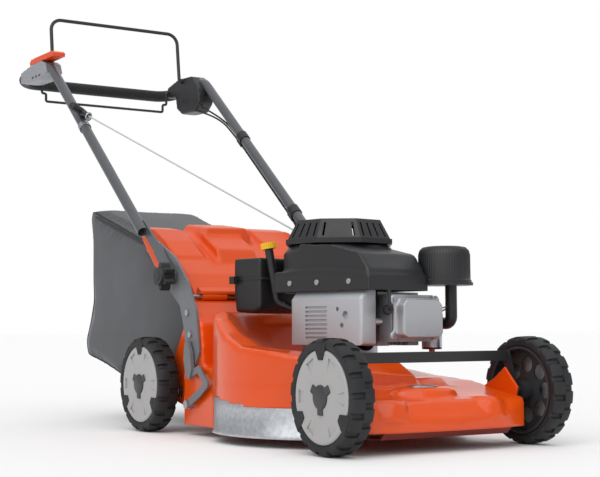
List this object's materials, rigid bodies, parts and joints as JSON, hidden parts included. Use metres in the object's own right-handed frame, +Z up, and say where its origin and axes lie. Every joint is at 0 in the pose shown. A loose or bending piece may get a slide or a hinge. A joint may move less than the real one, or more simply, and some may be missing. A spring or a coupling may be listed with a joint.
{
  "type": "walk-behind lawn mower",
  "caption": "Self-propelled petrol lawn mower with steel deck, rear grass bag, folding tube handle, recoil starter and height adjustment.",
  "frame": {"origin": "on the ground, on the middle plane between the wheels, half way along the machine", "axes": "+Z up; +Y from the front of the machine towards the operator's grip; +X to the operator's left"},
  "size_m": [0.5421, 1.672, 1.0797],
  "materials": {
    "tyre_rubber": "matt moulded",
    "rim_plastic": "satin moulded",
    "disc_plastic": "satin moulded",
    "black_steel": "satin black",
    "orange_paint": "gloss",
    "orange_plastic": "gloss",
    "galvanised": "galvanised",
    "bracket_paint": "satin",
    "tube_paint": "satin",
    "foam": "matt foam",
    "grey_plastic": "satin",
    "black_plastic": "satin",
    "shroud_plastic": "satin gloss",
    "yellow_plastic": "gloss",
    "black_rubber": "matt",
    "rope": "braided",
    "bag_cloth": "woven",
    "wire_steel": "satin",
    "cast_aluminium": "as cast",
    "machined_steel": "machined",
    "blade_steel": "satin black"
  },
  "bodies": {
    "root": {"deck_shell": "orange_paint", "side_skirt": "galvanised", "flap_hinge_rod": "galvanised", "handle_brackets": "bracket_paint", "bolts": "galvanised", "engine_block": "cast_aluminium", "valve_cover": "cast_aluminium", "muffler": "machined_steel", "muffler_cover": "galvanised", "carburettor": "cast_aluminium", "air_cleaner_base": "black_plastic", "air_cleaner_cover": "black_plastic", "blower_shroud": "shroud_plastic", "recoil_cover": "shroud_plastic", "fuel_tank": "black_plastic", "oil_filler_tube": "black_plastic", "spark_plug": "galvanised", "plug_lead": "black_rubber", "drive_belt": "black_rubber", "starter_rope": "rope"},
    "handle": {"handle_tube": "tube_paint", "grip_foam": "foam", "lever_housing": "grey_plastic", "control_box": "black_plastic", "cable_clips": "black_plastic", "rope_guide": "galvanised", "control_cables": "black_rubber"},
    "bail_brake": {"bail_brake": "black_steel"},
    "bail_drive": {"bail_drive": "black_steel"},
    "throttle_lever": {"throttle_lever": "orange_plastic"},
    "knob_left": {"knob_left": "black_plastic"},
    "knob_right": {"knob_right": "black_plastic"},
    "starter_grip": {"starter_grip": "black_plastic"},
    "rear_flap": {"rear_flap": "orange_plastic"},
    "grass_bag": {"bag_fabric": "bag_cloth", "bag_frame": "wire_steel"},
    "height_lever": {"height_lever": "black_steel"},
    "front_axle": {"front_axle": "black_steel"},
    "rear_axle": {"rear_axle": "black_steel"},
    "gearbox": {"gearbox": "cast_aluminium"},
    "gearbox_pulley": {"gearbox_pulley": "machined_steel"},
    "wheel_front_left": {"tyre_front_left": "tyre_rubber", "rim_front_left": "rim_plastic", "hub_disc_front_left": "disc_plastic"},
    "wheel_front_right": {"tyre_front_right": "tyre_rubber", "rim_front_right": "rim_plastic", "hub_disc_front_right": "disc_plastic"},
    "wheel_rear_left": {"tyre_rear_left": "tyre_rubber", "rim_rear_left": "rim_plastic", "hub_disc_rear_left": "disc_plastic"},
    "wheel_rear_right": {"tyre_rear_right": "tyre_rubber", "rim_rear_right": "rim_plastic", "hub_disc_rear_right": "disc_plastic"},
    "crank": {"crankshaft": "machined_steel", "flywheel_fan": "cast_aluminium", "blade": "blade_steel", "blade_adapter": "machined_steel", "blade_bolt": "galvanised"},
    "fuel_cap": {"fuel_cap": "black_plastic"},
    "dipstick_cap": {"dipstick_cap": "yellow_plastic"}
  },
  "joints": [
    {"name": "handle_fold", "type": "hinge", "parent": "root", "child": "handle", "pos_m": [0, -0.091, 0.342], "axis": [1, 0, 0], "range_deg": [0, 120], "deforming": ["starter_rope", "control_cables"]},
    {"name": "brake_bail", "type": "hinge", "parent": "handle", "child": "bail_brake", "pos_m": [0, 0.675, 0.935], "axis": [1, 0, 0], "range_deg": [-78, 0], "stiffness_Nm_per_rad": 1.2, "springref_deg": 25.78},
    {"name": "drive_bail", "type": "hinge", "parent": "handle", "child": "bail_drive", "pos_m": [0, 0.755, 0.9155], "axis": [1, 0, 0], "range_deg": [0, 70], "stiffness_Nm_per_rad": 0.4, "springref_deg": -17.19},
    {"name": "throttle_turn", "type": "hinge", "parent": "handle", "child": "throttle_lever", "pos_m": [-0.232, 0.55, 0.946], "axis": [1, 0, 0], "range_deg": [0, 30]},
    {"name": "starter_pull", "type": "slide", "parent": "handle", "child": "starter_grip", "axis": [-0.3508, 0.701, 0.6209], "range_m": [0, 0.5]},
    {"name": "knob_left_turn", "type": "hinge", "parent": "root", "child": "knob_left", "pos_m": [0.24, -0.091, 0.342], "axis": [1, 0, 0], "continuous": true},
    {"name": "knob_right_turn", "type": "hinge", "parent": "root", "child": "knob_right", "pos_m": [-0.24, -0.091, 0.342], "axis": [1, 0, 0], "continuous": true},
    {"name": "flap_lift", "type": "hinge", "parent": "root", "child": "rear_flap", "pos_m": [0, -0.15, 0.297], "axis": [1, 0, 0], "range_deg": [0, 24]},
    {"name": "bag_pull", "type": "slide", "parent": "root", "child": "grass_bag", "axis": [0, 1, 0], "range_m": [0, 0.35]},
    {"name": "height_set", "type": "hinge", "parent": "root", "child": "height_lever", "pos_m": [-0.223, -0.165, 0.066], "axis": [1, 0, 0], "range_deg": [0, 30]},
    {"name": "front_axle_swing", "type": "hinge", "parent": "root", "child": "front_axle", "pos_m": [0, -0.65764, 0.08941], "axis": [1, 0, 0], "range_deg": [0, 30]},
    {"name": "rear_axle_swing", "type": "hinge", "parent": "root", "child": "rear_axle", "pos_m": [0, -0.07236, 0.08941], "axis": [1, 0, 0], "range_deg": [-30, 0]},
    {"name": "gearbox_level", "type": "hinge", "parent": "rear_axle", "child": "gearbox", "pos_m": [0, 0.001, 0.105], "axis": [1, 0, 0], "range_deg": [0, 30], "deforming": ["drive_belt"]},
    {"name": "wheel_front_left_spin", "type": "hinge", "parent": "front_axle", "child": "wheel_front_left", "pos_m": [0.233, -0.731, 0.105], "axis": [1, 0, 0], "continuous": true},
    {"name": "wheel_front_right_spin", "type": "hinge", "parent": "front_axle", "child": "wheel_front_right", "pos_m": [-0.233, -0.731, 0.105], "axis": [1, 0, 0], "continuous": true},
    {"name": "wheel_rear_left_spin", "type": "hinge", "parent": "rear_axle", "child": "wheel_rear_left", "pos_m": [0.233, 0.001, 0.105], "axis": [1, 0, 0], "continuous": true},
    {"name": "wheel_rear_right_spin", "type": "hinge", "parent": "rear_axle", "child": "wheel_rear_right", "pos_m": [-0.233, 0.001, 0.105], "axis": [1, 0, 0], "continuous": true},
    {"name": "crank_spin", "type": "hinge", "parent": "root", "child": "crank", "pos_m": [0, -0.417, 0], "axis": [0, 0, 1], "continuous": true},
    {"name": "pulley_spin", "type": "hinge", "parent": "gearbox", "child": "gearbox_pulley", "pos_m": [0, -0.073, 0.07], "axis": [0, 0, 1], "continuous": true},
    {"name": "fuel_cap_lift", "type": "slide", "parent": "root", "child": "fuel_cap", "axis": [0, 0, 1], "range_m": [0, 0.02]},
    {"name": "dipstick_draw", "type": "slide", "parent": "root", "child": "dipstick_cap", "axis": [-0.1248, 0.1098, 0.9861], "range_m": [0, 0.06]}
  ],
  "couplings": [
    {"joint": "front_axle_swing", "follows": "height_set", "ratio": 1},
    {"joint": "rear_axle_swing", "follows": "height_set", "ratio": -1},
    {"joint": "gearbox_level", "follows": "height_set", "ratio": 1},
    {"joint": "pulley_spin", "follows": "crank_spin", "ratio": 0.8}
  ]
}
